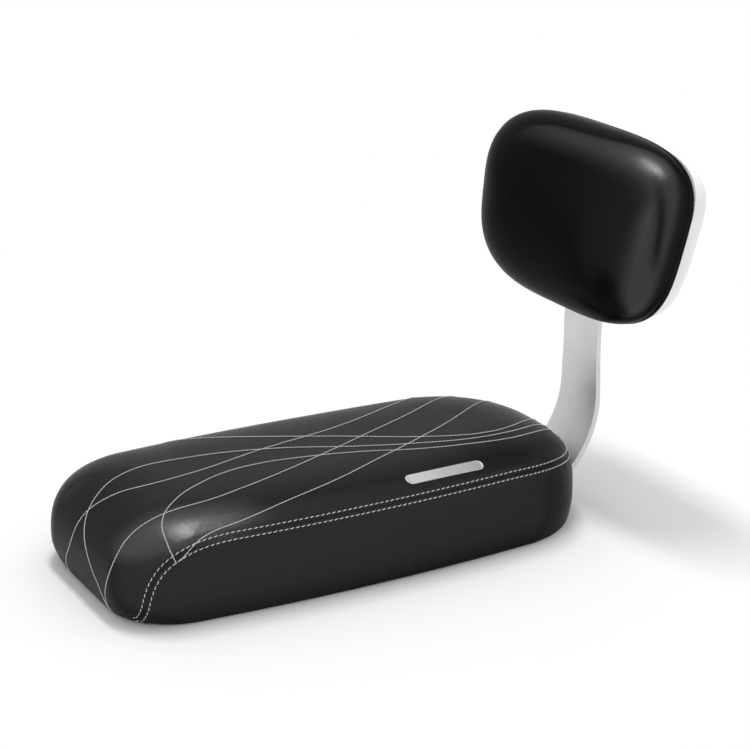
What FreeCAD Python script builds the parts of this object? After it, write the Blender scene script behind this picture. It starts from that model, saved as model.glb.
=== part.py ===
import FreeCAD, Part
import math
import os

# Rear child seat for a bicycle rack: a padded cushion, a bent flat bar and a padded backrest.
# Millimetres. +X is the riding direction, +Y the left side, +Z up. The origin is the middle of
# the four rack bolts, on the underside of the cushion's board.

# Cushion form
seat_length = 350.0
seat_width = 166.4
seat_height = 66.5
belly_height = 18.5
side_tuck = 3.2
front_tuck = 5.6
shoulder_start = 32.0
shoulder_power = 4.0
front_round_start = 19.8
front_round_run = 70.0
front_round_power = 2.6
front_flat = 86.0
front_flat_foot = 62.0
rear_tuck = 3.0
rear_round_start = 22.0
rear_round_run = 67.0
rear_round_power = 2.67
rear_flat = 16.0
crown_width = 36.0
side_arc_radius = 1400.0
side_arc_forward = 16.0
shoulder_angles = (3.0, 10.0, 20.0, 32.0, 45.0, 57.0, 68.0, 77.0, 84.0)

# Leather, foam and board of the cushion
leather = 1.2
foam_wrap = 2.0
board_thickness = 12.0
hem_width = 24.0

# Seam between the cushion's top and side panels
seam_height = 52.0
seam_front_setback = 75.0
seam_foot_setback = 13.0
seam_bend_drop = 14.0
seam_bend_setback = 25.0
seam_rear_run = 83.0
seam_rear_drop = 11.2
seam_groove_width = 2.0
seam_groove_depth = 0.7

# Badge plate on the cushion
badge_length = 58.0
badge_width = 7.6
badge_thickness = 0.6
badge_glue = 0.15
badge_rear_setback = 125.6
badge_side_setback = 15.5
badge_turn = 1.8

# Flat bar
bar_width = 40.0
bar_foot_width = 48.0
bar_flare_foot = 20.0
bar_flare_top = 100.0
bar_thickness = 4.0
bar_recess = 1.3
bar_setback = 22.2
bar_foot_radius = 68.0
bar_kink_height = 122.8
bar_kink_radius = 80.0
bar_leg_length = 178.0
bar_corner_radius = 10.0
bar_side_clearance = 0.5
bar_bend_clearance = 1.2

# Screws, bolts and tee nuts, all M6
thread_radius = 3.0
tapped_radius = 2.5
bolt_clearance = 0.3
tee_flange_radius = 9.5
tee_flange_thickness = 1.5
tee_barrel_radius = 3.9
tee_barrel_gap = 0.2
screw_end_room = 2.0
countersunk_head_radius = 6.0
countersunk_head_height = 3.3
button_head_radius = 5.25
button_head_height = 3.3
button_head_round = 2.0
hex_key_across = 4.0
hex_key_depth = 2.0
washer_radius = 6.5
washer_thickness = 1.6
bar_screw_pitch = 60.0
bar_screw_end = 30.0
rack_bolt_length_pitch = 150.0
rack_bolt_width_pitch = 70.0

# Staples
staple_crown = 10.0
staple_wire = 0.8
staple_leg = 6.0
staple_inset = 11.0
seat_staple_count = 26
backrest_staple_count = 16

# Backrest form
backrest_width = 209.2
backrest_height = 127.0
backrest_depth = 44.5
backrest_tilt = 11.1
backrest_rise = 70.2
backrest_power = 3.44
backrest_taper = 0.076
backrest_rear_tuck = 1.8
backrest_belly = 9.0
backrest_round_start = 7.4
backrest_round_power = 2.06
backrest_crown_height = 28.0
backrest_angles = (8.0, 20.0, 34.0, 48.0, 60.0, 70.0, 78.0)
backrest_board_thickness = 9.0
backrest_hem_width = 18.0
outline_points = 32

# Rear shell of the backrest
shell_depth = 15.6
shell_wall = 2.5
shell_inset = 2.5
shell_draft = 0.33
shell_power = 3.9
shell_taper = 0.09
shell_edge_radius = 5.0
shell_edge_angles = (0.0, 22.0, 45.0, 67.0, 90.0)
shell_screw_width_pitch = 124.0
shell_screw_height_pitch = 56.0
shell_screw_radius = 1.75
shell_screw_bite = 7.0
shell_screw_head_radius = 3.5
shell_screw_head_height = 2.4
shell_screw_head_gap = 0.6
shell_screw_sink = 3.5
shell_boss_radius = 6.2
bar_boss_radius = 8.0
bar_channel_floor = -7.0
bar_bolt_low = -12.0
bar_bolt_pitch = 35.0
bar_end_margin = 13.0
bar_end_gap = 1.0

# Room that cutting tools run past a face, and limits of the outline formulas
cut_room = 5.0
steepest_level = 0.2
length_match = 0.01

half_length = seat_length / 2
half_width = seat_width / 2
bar_top = bar_recess + bar_thickness
bar_face = -half_length - bar_setback
bar_bend_start = bar_face + bar_foot_radius
bar_leg_end = bar_face + bar_leg_length
tilt = math.radians(backrest_tilt)
kink = FreeCAD.Vector(bar_face, 0, bar_kink_height)
back_up = FreeCAD.Vector(-math.sin(tilt), 0, math.cos(tilt))
back_out = FreeCAD.Vector(math.cos(tilt), 0, math.sin(tilt))
bar_rear = bar_channel_floor - bar_thickness
backrest_origin = kink + back_up * backrest_rise - back_out * bar_channel_floor
backrest_frame = FreeCAD.Placement(FreeCAD.Matrix(
    0, back_up.x, back_out.x, backrest_origin.x,
    1, back_up.y, back_out.y, backrest_origin.y,
    0, back_up.z, back_out.z, backrest_origin.z,
    0, 0, 0, 1))
bar_screw_places = [bar_leg_end - bar_screw_end - bar_screw_pitch * i for i in range(2)]
rack_bolt_places = [(sx * rack_bolt_length_pitch / 2, sy * rack_bolt_width_pitch / 2)
                    for sx in (-1, 1) for sy in (-1, 1)]
bar_bolt_places = [bar_bolt_low + bar_bolt_pitch * i for i in range(2)]
bar_end_up = bar_bolt_places[-1] + bar_end_margin
shell_channel_end = bar_end_up + bar_end_gap
shell_screw_places = [(sx * shell_screw_width_pitch / 2, sy * shell_screw_height_pitch / 2)
                      for sx in (-1, 1) for sy in (-1, 1)]


def vec(x, y, z):
    return FreeCAD.Vector(x, y, z)


def box(x0, x1, y0, y1, z0, z1):
    return Part.makeBox(x1 - x0, y1 - y0, z1 - z0, vec(x0, y0, z0))


def rod(radius, x, y, z0, z1):
    return Part.makeCylinder(radius, z1 - z0, vec(x, y, z0))


def hex_rod(across, x, y, z0, z1):
    corner = across / math.sqrt(3)
    points = [vec(x + corner * math.cos(math.pi * i / 3), y + corner * math.sin(math.pi * i / 3), z0)
              for i in range(7)]
    return Part.Face(Part.makePolygon(points)).extrude(vec(0, 0, z1 - z0))


def joined(shapes):
    """One solid from several that overlap."""
    result = shapes[0].multiFuse(shapes[1:])
    return result.removeSplitter()


def group(shapes):
    return Part.makeCompound(shapes)


def hollow(outer, inner):
    """Solid between a closed form and a smaller one that lies wholly inside it."""
    return Part.makeSolid(group([outer.Shells[0], inner.Shells[0].reversed()]))


def in_backrest(shape):
    """Moves a shape from the backrest's frame (across, up, out) to the seat's frame."""
    moved = shape.copy()
    moved.Placement = backrest_frame.multiply(moved.Placement)
    return moved


# Cushion outlines

def corner_arc(end_x, flat, half, side):
    """Corner circle that touches the end line and the long side arc: its centre and where it meets the arc."""
    reach = abs(end_x - side_arc_forward)
    lift = flat / 2 - half + side_arc_radius
    radius = (side_arc_radius ** 2 - reach ** 2 - lift ** 2) / (2 * (side_arc_radius - reach))
    centre = vec(end_x - side * radius, flat / 2, 0)
    pivot = vec(side_arc_forward, half - side_arc_radius, 0)
    meet = pivot + (centre - pivot).normalize() * side_arc_radius
    return centre, meet


def arc_about(centre, start, end):
    middle = (start - centre).normalize() + (end - centre).normalize()
    return Part.Arc(start, centre + middle.normalize() * (start - centre).Length, end).toShape()


def seat_outline(height, side_inset, front_inset, rear_inset, end_share):
    """Plan outline at a height above the hem: two ends, four corners and two bowed sides."""
    half = half_width - side_inset
    narrowing = half / half_width
    front_x = half_length - front_inset
    rear_x = rear_inset - half_length
    foot_flat = front_flat + (front_flat_foot - front_flat) * end_share
    front_centre, front_meet = corner_arc(front_x, foot_flat * narrowing, half, 1)
    rear_centre, rear_meet = corner_arc(rear_x, rear_flat * narrowing, half, -1)
    front_point = vec(front_x, foot_flat * narrowing / 2, 0)
    rear_point = vec(rear_x, rear_flat * narrowing / 2, 0)
    pivot = vec(side_arc_forward, half - side_arc_radius, 0)
    left = [arc_about(front_centre, front_point, front_meet),
            arc_about(pivot, front_meet, rear_meet),
            arc_about(rear_centre, rear_meet, rear_point)]
    right = [edge.mirror(vec(0, 0, 0), vec(0, 1, 0)) for edge in reversed(left)]
    front = Part.makeLine(vec(front_x, -front_point.y, 0), front_point)
    rear = Part.makeLine(rear_point, vec(rear_x, -rear_point.y, 0))
    wire = Part.Wire([front] + left + [rear] + right)
    wire.translate(vec(0, 0, height - leather))
    return wire


def tuck_share(height):
    """How much of the foot's tuck is left at a height, from 1 at the floor to 0 at the belly."""
    return max(0.0, 1 - height / belly_height) ** 2


def rounding(height, start, run, power):
    """Inset of a rounded edge at a height, and the sine of its slope there."""
    rise = seat_height - start
    up = min(max((height - start) / rise, 0.0), 1.0)
    along = (1 - up ** power) ** (1 / power)
    out_slope = along ** (power - 1) / run
    up_slope = up ** (power - 1) / rise
    return run * (1 - along), math.sin(math.atan2(up_slope, out_slope))


def end_inset(edge, skin, side_sine):
    """Inset of a rounded end, moved inwards by a skin at the height that the side's slope sets."""
    inset, sine = edge
    level = max(math.sqrt(1 - sine ** 2), steepest_level)
    return inset + skin * (1 - side_sine * sine) / level


def seat_section(height, skin):
    """Outline of the cushion at a height of its outer face, moved inwards by a skin."""
    side, side_sine = rounding(height, shoulder_start, half_width, shoulder_power)
    front = rounding(height, front_round_start, front_round_run, front_round_power)
    rear = rounding(height, rear_round_start, rear_round_run, rear_round_power)
    tuck = tuck_share(height)
    return seat_outline(height - skin * side_sine,
                        side + side_tuck * tuck + skin * math.sqrt(1 - side_sine ** 2),
                        end_inset(front, skin, side_sine) + front_tuck * tuck,
                        end_inset(rear, skin, side_sine) + rear_tuck * tuck,
                        tuck)


def seat_form(skin, foot):
    """Closed cushion form, its faces moved inwards by a skin, standing on a foot height."""
    rise = seat_height - shoulder_start
    heights = [foot, belly_height / 3, belly_height * 2 / 3, belly_height]
    heights += [(belly_height + shoulder_start) / 2, shoulder_start]
    crown_angle = math.degrees(math.acos((crown_width / seat_width) ** (shoulder_power / 2)))
    for angle in shoulder_angles + (crown_angle,):
        heights.append(shoulder_start + rise * math.sin(math.radians(angle)) ** (2 / shoulder_power))
    return Part.makeLoft([seat_section(height, skin) for height in heights], True, False)


def foot_outline(inset, height):
    """Outline of the cushion's foot, moved inwards and placed at a height above the hem."""
    return seat_outline(height, side_tuck + inset, front_tuck + inset, rear_tuck + inset, 1.0)


def seat_prism(inset, low, high):
    """Upright block with the foot's outline moved inwards."""
    return Part.Face(foot_outline(inset, low + leather)).extrude(vec(0, 0, high - low))


# Cushion pieces

def bar_notch():
    """Room for the bar's bend where it leaves the cushion at the rear."""
    half = bar_foot_width / 2 + bar_side_clearance
    roof = bar_foot_radius - bar_bend_clearance
    centre = vec(bar_bend_start, -half, bar_top + bar_foot_radius)
    end_x = -half_length - cut_room
    drop = math.sqrt(roof ** 2 - (bar_bend_start - end_x) ** 2)
    start = centre - vec(0, 0, roof)
    end = vec(end_x, -half, centre.z - drop)
    low = -leather - cut_room
    edges = [arc_about(centre, start, end),
             Part.makeLine(end, vec(end_x, -half, low)),
             Part.makeLine(vec(end_x, -half, low), vec(bar_bend_start, -half, low)),
             Part.makeLine(vec(bar_bend_start, -half, low), start)]
    bend = Part.Face(Part.Wire(edges)).extrude(vec(0, 2 * half, 0))
    leg = box(bar_bend_start - cut_room, bar_leg_end + bar_side_clearance, -half, half, low, bar_top)
    return joined([bend, leg])


def tee_nut(x, y, top, length, bore):
    """Tee nut whose flange lies on a board's top face, with its barrel in the board."""
    nut = joined([rod(tee_flange_radius, x, y, top, top + tee_flange_thickness),
                  rod(tee_barrel_radius, x, y, top - length, top)])
    return nut.cut(rod(bore, x, y, top - length - cut_room, top + cut_room))


def tee_pocket(x, y, top, length):
    """Room for a tee nut and the end of its screw, seen from the board's top face."""
    return joined([rod(tee_barrel_radius, x, y, top - length - cut_room, top),
                   rod(tee_flange_radius, x, y, top, top + tee_flange_thickness),
                   rod(thread_radius + bolt_clearance, x, y, top, top + tee_flange_thickness + screw_end_room)])


def seat_nuts():
    """Rack nuts reach through the whole board, bar nuts only to the roof of the bar's channel."""
    bar_barrel = board_thickness - bar_top - tee_barrel_gap
    rack = [(x, y, board_thickness, board_thickness, tapped_radius) for x, y in rack_bolt_places]
    bar = [(x, 0, board_thickness, bar_barrel, thread_radius) for x in bar_screw_places]
    return rack, bar


def bar_screw(x):
    """Countersunk screw from below, through the bar into its tee nut."""
    head = Part.makeCone(countersunk_head_radius, thread_radius, countersunk_head_height, vec(x, 0, bar_recess))
    end = board_thickness + tee_flange_thickness + screw_end_room / 2
    shank = rod(thread_radius, x, 0, bar_recess, end)
    key = hex_rod(hex_key_across, x, 0, bar_recess - cut_room, bar_recess + hex_key_depth)
    return joined([head, shank]).cut(key)


def staple(place, along, up):
    """Wire staple with its crown flush in the hem and its legs in the board."""
    across = up.cross(along)
    width = staple_wire
    corner = place - along * (staple_crown / 2) - across * (width / 2)
    turn = FreeCAD.Rotation(along, across, up, "XYZ")
    crown = Part.makeBox(staple_crown, width, width)
    legs = [Part.makeBox(width, width, staple_leg, vec(x, 0, 0)) for x in (0, staple_crown - width)]
    shape = joined([crown] + legs)
    shape.Placement = FreeCAD.Placement(corner, turn)
    return shape


def staples_along(wire, count, up):
    """Staples spaced evenly along a closed wire."""
    places = wire.discretize(Number=2 * count + 1)
    result = []
    for i in range(count):
        along = (places[2 * i + 2] - places[2 * i]).normalize()
        result.append(staple(places[2 * i + 1], along, up))
    return result


def seat_staple_list():
    wire = foot_outline(staple_inset, 0.0)
    half = bar_foot_width / 2 + staple_crown
    notch = box(-seat_length, bar_bend_start, -half, half, -cut_room, cut_room)
    staples = staples_along(wire, seat_staple_count, vec(0, 0, 1))
    return [one for one in staples if one.common(notch).Volume == 0]


def side_region(lower):
    """Everything behind and below the seam, seen from the side, with the seam moved down a little."""
    top = seam_height - lower
    reach = seat_width
    front = half_length - seam_front_setback - lower
    foot = half_length - seam_foot_setback - lower
    low = -leather - cut_room
    rear = -seat_length
    rear_top = top - seam_rear_drop
    fall_start = seam_rear_run - half_length
    fall = Part.BezierCurve()
    fall.setPoles([vec(-half_length, -reach, rear_top), vec(fall_start - seam_rear_run / 2, -reach, top),
                   vec(fall_start, -reach, top)])
    bend = Part.BezierCurve()
    bend.setPoles([vec(front, -reach, top), vec(half_length - seam_bend_setback - lower, -reach, top),
                   vec(foot, -reach, top - seam_bend_drop), vec(foot, -reach, low)])
    edges = [Part.makeLine(vec(rear, -reach, rear_top), vec(-half_length, -reach, rear_top)),
             fall.toShape(),
             Part.makeLine(vec(fall_start, -reach, top), vec(front, -reach, top)),
             bend.toShape(),
             Part.makeLine(vec(foot, -reach, low), vec(rear, -reach, low)),
             Part.makeLine(vec(rear, -reach, low), vec(rear, -reach, rear_top))]
    return Part.Face(Part.Wire(edges)).extrude(vec(0, 2 * reach, 0))


def seat_badge():
    """Pill-shaped plate that lies on the leather."""
    half = badge_length / 2 - badge_width / 2
    radius = badge_width / 2
    tall = 2 * seat_height
    pill = joined([box(-half, half, -radius, radius, 0, tall), rod(radius, -half, 0, 0, tall),
                   rod(radius, half, 0, 0, tall)])
    pill.rotate(vec(0, 0, 0), vec(0, 0, 1), badge_turn)
    pill.translate(vec(badge_rear_setback - half_length, half_width - badge_side_setback, seat_height / 2))
    return pill.common(seat_form(-badge_glue - badge_thickness, 0.0)).cut(seat_form(-badge_glue, 0.0))


def cushion():
    """All pieces of the cushion by name."""
    outer = seat_form(0.0, 0.0)
    inner = seat_form(leather, leather)
    notch = bar_notch()
    staples = group(seat_staple_list())
    rack, bar = seat_nuts()
    pockets = group([tee_pocket(*nut[:4]) for nut in rack + bar])
    plain_board = seat_prism(leather + foam_wrap, 0.0, board_thickness)
    board = plain_board.cut(notch).cut(pockets).cut(staples)
    foam = inner.cut(plain_board).cut(notch).cut(pockets)
    opening = seat_prism(hem_width, -leather - cut_room, 0.0)
    groove = side_region(-seam_groove_width / 2).cut(side_region(seam_groove_width / 2))
    groove = groove.cut(seat_form(seam_groove_depth, 0.0))
    cover = hollow(outer, inner).cut(opening).cut(notch).cut(groove).cut(staples)
    side = side_region(0.0)
    return {
        "seat_top_panel": cover.cut(side),
        "seat_side_panel": cover.common(side),
        "seat_foam": foam,
        "seat_board": board,
        "seat_staples": staples,
        "seat_badge": seat_badge(),
        "rack_tee_nuts": group([tee_nut(*nut) for nut in rack]),
        "bar_tee_nuts": group([tee_nut(*nut) for nut in bar]),
        "bar_screws": group([bar_screw(x) for x in bar_screw_places]),
    }


# Bar

def bar_front_view():
    """Block with the bar's outline as seen from the front: a wide foot that narrows upwards."""
    left = [(bar_foot_width / 2, -cut_room), (bar_foot_width / 2, bar_flare_foot),
            (bar_width / 2, bar_flare_top), (bar_width / 2, seat_length)]
    outline = [(-y, z) for y, z in left] + left[::-1]
    points = [vec(-seat_length, y, z) for y, z in outline + outline[:1]]
    return Part.Face(Part.makePolygon(points)).extrude(vec(seat_length, 0, 0))


def bar_strip():
    """Flat strip bent up behind the cushion and back behind the pad."""
    foot_centre = vec(bar_bend_start, 0, bar_top + bar_foot_radius)
    kink_run = bar_kink_radius * math.tan(tilt / 2)
    kink_start = kink - vec(0, 0, kink_run)
    kink_end = kink + back_up * kink_run
    kink_centre = kink_start - vec(bar_kink_radius, 0, 0)
    bar_end = kink + back_up * (backrest_rise + bar_end_up)
    down = vec(0, 0, -bar_thickness)
    behind = vec(-bar_thickness, 0, 0)
    off = back_out * -bar_thickness
    front = [vec(bar_leg_end, 0, bar_top), vec(bar_bend_start, 0, bar_top),
             vec(bar_face, 0, foot_centre.z), kink_start, kink_end, bar_end]
    rear = [p + shift for p, shift in zip(front, (down, down, behind, behind, off, off))]
    edges = []
    for line in (front, rear):
        edges += [Part.makeLine(line[0], line[1]), arc_about(foot_centre, line[1], line[2]),
                  Part.makeLine(line[2], line[3]), arc_about(kink_centre, line[3], line[4]),
                  Part.makeLine(line[4], line[5])]
    edges += [Part.makeLine(front[0], rear[0]), Part.makeLine(front[5], rear[5])]
    wire = Part.Wire(Part.__sortEdges__(edges))
    wire.translate(vec(0, -bar_foot_width / 2, 0))
    strip = Part.Face(wire).extrude(vec(0, bar_foot_width, 0)).common(bar_front_view())
    short = [edge for edge in strip.Edges if abs(edge.Length - bar_thickness) < length_match]
    corners = [edge for edge in short
               if edge.CenterOfMass.x > bar_bend_start or edge.CenterOfMass.z > bar_kink_height]
    return strip.makeFillet(bar_corner_radius, corners)


def backrest_bar():
    strip = bar_strip()
    holes = []
    for x in bar_screw_places:
        sink = Part.makeCone(countersunk_head_radius, thread_radius, countersunk_head_height, vec(x, 0, bar_recess))
        holes += [rod(thread_radius + bolt_clearance, x, 0, 0, bar_top + cut_room), sink]
    for v in bar_bolt_places:
        holes.append(in_backrest(rod(thread_radius + bolt_clearance, 0, v, -shell_depth - cut_room, 0)))
    return strip.cut(group(holes))


# Backrest outlines, in the frame across, up, out

def rounded_outline(inset, out, power, taper):
    """Rounded outline, wider at the top, moved inwards and placed at a depth."""
    points = []
    for i in range(outline_points):
        angle = 2 * math.pi * i / outline_points
        across = math.copysign(abs(math.cos(angle)) ** (2 / power), math.cos(angle))
        up = math.copysign(abs(math.sin(angle)) ** (2 / power), math.sin(angle))
        x = across * (backrest_width / 2 - inset) * (1 + taper * up)
        points.append(vec(x, up * (backrest_height / 2 - inset), out))
    curve = Part.BSplineCurve()
    curve.interpolate(points, PeriodicFlag=True)
    knots = curve.getKnots()
    quarter = outline_points // 4
    return Part.Wire([curve.toShape(knots[quarter * i], knots[quarter * (i + 1)]) for i in range(4)])


def backrest_outline(inset, out):
    return rounded_outline(inset, out, backrest_power, backrest_taper)


def backrest_prism(inset, low, high):
    return Part.Face(backrest_outline(inset, low)).extrude(vec(0, 0, high - low))


def pad_section(out, skin):
    """Outline of the pad at a depth of its outer face, moved inwards by a skin."""
    run = backrest_height / 2
    rise = backrest_depth - backrest_round_start
    up = min(max((out - backrest_round_start) / rise, 0.0), 1.0)
    along = (1 - up ** backrest_round_power) ** (1 / backrest_round_power)
    slope = math.atan2(up ** (backrest_round_power - 1) / rise, along ** (backrest_round_power - 1) / run)
    tuck = max(0.0, 1 - out / backrest_belly) ** 2
    inset = run * (1 - along) + backrest_rear_tuck * tuck + skin * math.cos(slope)
    return backrest_outline(inset, out - skin * math.sin(slope))


def pad_form(skin, rear):
    rise = backrest_depth - backrest_round_start
    crown = (backrest_crown_height / backrest_height) ** (backrest_round_power / 2)
    depths = [rear, backrest_belly / 2, backrest_belly]
    for angle in backrest_angles + (math.degrees(math.acos(crown)),):
        share = math.sin(math.radians(angle)) ** (2 / backrest_round_power)
        depths.append(backrest_round_start + rise * share)
    depths = sorted(depths)
    return Part.makeLoft([pad_section(depth, skin) for depth in depths], True, False)


def shell_outline(inset, out):
    """Outline of the shell, whose sides draw in towards the rear."""
    return rounded_outline(shell_inset + inset - shell_draft * out, out, shell_power, shell_taper)


def shell_form(wall, rim):
    """Tray form with a rounded rear edge, moved inwards by a wall and opened to a rim depth."""
    radius = shell_edge_radius - wall
    wires = [shell_outline(wall, rim)]
    for angle in shell_edge_angles:
        turn = math.radians(angle)
        depth = shell_depth - shell_edge_radius + radius * math.sin(turn)
        wires.append(shell_outline(wall + radius * (1 - math.cos(turn)), -depth))
    return Part.makeLoft(wires, True, False)


# Backrest pieces

def shell_screw(x, y):
    """Pan-head screw sunk in the shell's rear face and biting into the board."""
    seat = shell_screw_sink - shell_depth
    return joined([rod(shell_screw_head_radius, x, y, seat - shell_screw_head_height, seat),
                   rod(shell_screw_radius, x, y, seat, leather + shell_screw_bite)])


def backrest_shell():
    outer = shell_form(0.0, 0.0)
    half = bar_width / 2 + bar_side_clearance
    rear = -shell_depth - cut_room
    low = -backrest_height
    trough = box(-half - shell_wall, half + shell_wall, low, shell_channel_end + shell_wall,
                 rear, bar_channel_floor + shell_wall).common(outer)
    bosses = [rod(shell_boss_radius, x, y, shell_wall / 2 - shell_depth, leather)
              for x, y in shell_screw_places]
    bosses += [rod(bar_boss_radius, 0, y, bar_channel_floor + shell_wall / 2, leather) for y in bar_bolt_places]
    body = joined([outer.cut(shell_form(shell_wall, cut_room)), trough] + bosses)
    holes = [box(-half, half, low, shell_channel_end, rear, bar_channel_floor)]
    for x, y in shell_screw_places:
        holes.append(rod(shell_screw_radius + bolt_clearance, x, y, rear, leather + cut_room))
        holes.append(rod(shell_screw_head_radius + shell_screw_head_gap, x, y, rear, shell_screw_sink - shell_depth))
    holes += [rod(thread_radius + bolt_clearance, 0, y, rear, leather + cut_room) for y in bar_bolt_places]
    return body.cut(group(holes))


def button_bolt(y):
    """Button-head bolt through washer, bar and shell into its tee nut."""
    seat = bar_rear - washer_thickness
    front = leather + backrest_board_thickness
    head = rod(button_head_radius, 0, y, seat - button_head_height, seat)
    rim = head.Edges[0] if head.Edges[0].CenterOfMass.z < seat else head.Edges[-1]
    head = head.makeFillet(button_head_round, [rim])
    shank = rod(thread_radius, 0, y, seat, front + tee_flange_thickness + screw_end_room / 2)
    key = hex_rod(hex_key_across, 0, y, seat - button_head_height - cut_room,
                  seat - button_head_height + hex_key_depth)
    return joined([head, shank]).cut(key)


def washer(y):
    ring = rod(washer_radius, 0, y, bar_rear - washer_thickness, bar_rear)
    return ring.cut(rod(thread_radius + bolt_clearance, 0, y, bar_rear - cut_room, bar_rear + cut_room))


def backrest():
    """All pieces of the backrest by name, in its own frame."""
    front = leather + backrest_board_thickness
    inner = pad_form(leather, leather)
    staple_wire_line = backrest_outline(backrest_rear_tuck + staple_inset, 0.0)
    staples = group(staples_along(staple_wire_line, backrest_staple_count, vec(0, 0, 1)))
    nut_length = backrest_board_thickness - tee_barrel_gap
    nuts = [(0, y, front, nut_length, thread_radius) for y in bar_bolt_places]
    pockets = group([tee_pocket(*nut[:4]) for nut in nuts])
    screws = group([shell_screw(x, y) for x, y in shell_screw_places])
    plain_board = backrest_prism(backrest_rear_tuck + leather + foam_wrap, leather, front)
    board = plain_board.cut(pockets).cut(screws).cut(staples)
    opening = backrest_prism(backrest_rear_tuck + backrest_hem_width, -cut_room, leather)
    return {
        "backrest_cover": hollow(pad_form(0.0, 0.0), inner).cut(opening).cut(staples),
        "backrest_foam": inner.cut(plain_board).cut(pockets),
        "backrest_board": board,
        "backrest_staples": staples,
        "backrest_shell": backrest_shell(),
        "shell_screws": screws,
        "backrest_tee_nuts": group([tee_nut(*nut) for nut in nuts]),
        "backrest_bolts": group([button_bolt(y) for y in bar_bolt_places]),
        "backrest_washers": group([washer(y) for y in bar_bolt_places]),
    }


pieces = cushion()
pieces["backrest_bar"] = backrest_bar()
for name, shape in backrest().items():
    pieces[name] = in_backrest(shape)
os.makedirs("parts", exist_ok=True)
for name, shape in pieces.items():
    shape.exportStep("parts/" + name + ".step")
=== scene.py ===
import math

import bmesh
import bpy
import numpy as np
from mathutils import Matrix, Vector
from mathutils.bvhtree import BVHTree
from mathutils.kdtree import KDTree


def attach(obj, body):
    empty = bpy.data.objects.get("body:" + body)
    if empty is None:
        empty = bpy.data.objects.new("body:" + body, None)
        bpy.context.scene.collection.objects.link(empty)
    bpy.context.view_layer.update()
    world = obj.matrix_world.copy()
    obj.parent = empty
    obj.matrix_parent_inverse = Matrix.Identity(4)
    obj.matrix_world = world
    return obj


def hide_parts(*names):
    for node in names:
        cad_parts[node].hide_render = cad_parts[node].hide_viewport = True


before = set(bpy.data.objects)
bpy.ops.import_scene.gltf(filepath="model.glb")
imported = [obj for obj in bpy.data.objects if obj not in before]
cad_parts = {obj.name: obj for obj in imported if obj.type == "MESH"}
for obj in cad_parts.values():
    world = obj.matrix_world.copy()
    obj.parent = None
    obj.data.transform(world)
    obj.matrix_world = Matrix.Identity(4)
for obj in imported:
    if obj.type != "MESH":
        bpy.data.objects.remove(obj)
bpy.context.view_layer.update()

MM = 0.001

# Cushion form in millimetres, the same driving sizes as its solids
SEAT_LENGTH = 350.0
SEAT_WIDTH = 166.4
SEAT_HEIGHT = 66.5
BELLY_HEIGHT = 18.5
SIDE_TUCK = 3.2
FRONT_TUCK = 5.6
SHOULDER_START = 32.0
SHOULDER_POWER = 4.0
FRONT_ROUND_START = 19.8
FRONT_ROUND_RUN = 70.0
FRONT_ROUND_POWER = 2.6
FRONT_FLAT = 86.0
FRONT_FLAT_FOOT = 62.0
REAR_TUCK = 3.0
REAR_ROUND_START = 22.0
REAR_ROUND_RUN = 67.0
REAR_ROUND_POWER = 2.67
REAR_FLAT = 16.0
CROWN_WIDTH = 36.0
SIDE_ARC_RADIUS = 1400.0
SIDE_ARC_FORWARD = 16.0
LEATHER = 1.2
HEM_WIDTH = 24.0
HEM_EDGE_RADIUS = 2.0
HALF_LENGTH = SEAT_LENGTH / 2
HALF_WIDTH = SEAT_WIDTH / 2

# Seam between the top panel and the side panel, drawn in side view
SEAM_HEIGHT = 52.0
SEAM_BEND_START = 100.0
SEAM_BEND_HANDLES = ((150.0, 52.0), (162.0, 38.0))
SEAM_FOOT = (162.0, -6.2)
SEAM_FALL_START = -92.0
SEAM_FALL_RUN = 83.0
SEAM_FALL = 11.2
SEAM_GROOVE_DEPTH = 0.75
SEAM_GROOVE_HALF = 1.1
SEAM_ROLL_HEIGHT = 0.55
SEAM_ROLL_AT = 5.0
SEAM_ROLL_HALF = 3.2
PUCKER_HEIGHT = 0.12
PUCKER_PITCH = 9.4
PUCKER_DRIFT = 23.0
STITCH_ROW_OFFSET = 2.2

# Opening at the rear that the bar passes through
NOTCH_HALF = 24.5
NOTCH_HEIGHT = 25.8

# Stretches of the cushion's left outline, from the front's middle to the rear's
FRONT_LINE, FRONT_CORNER, LONG_SIDE, REAR_CORNER, REAR_LINE = range(5)

# Mesh spacing of the cushion's cover
FRONT_LINE_COLUMNS = 9
FRONT_CORNER_COLUMNS = 64
SIDE_COLUMNS = 84
REAR_CORNER_COLUMNS = 38
REAR_NOTCH_COLUMNS = 7
REAR_LINE_COLUMNS = 4
HEM_STEPS = (HEM_WIDTH, 17.0, 10.0, 5.0)
HEM_EDGE_ROWS = 4
LOW_WALL_ROWS = 12
SEAM_BAND = (0.5, 1.0, 1.6, 2.3, 3.2, 4.2, 5.4, 7.0)
SEAM_BAND_ROOM = 0.7
SEAM_STEEP_LIMIT = 3.0
SEAM_STEEP_SPAN = 4
LEAST_COLUMN_STEP = 0.3
TOP_ROWS = 27
CROWN_ROWS = 5

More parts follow.
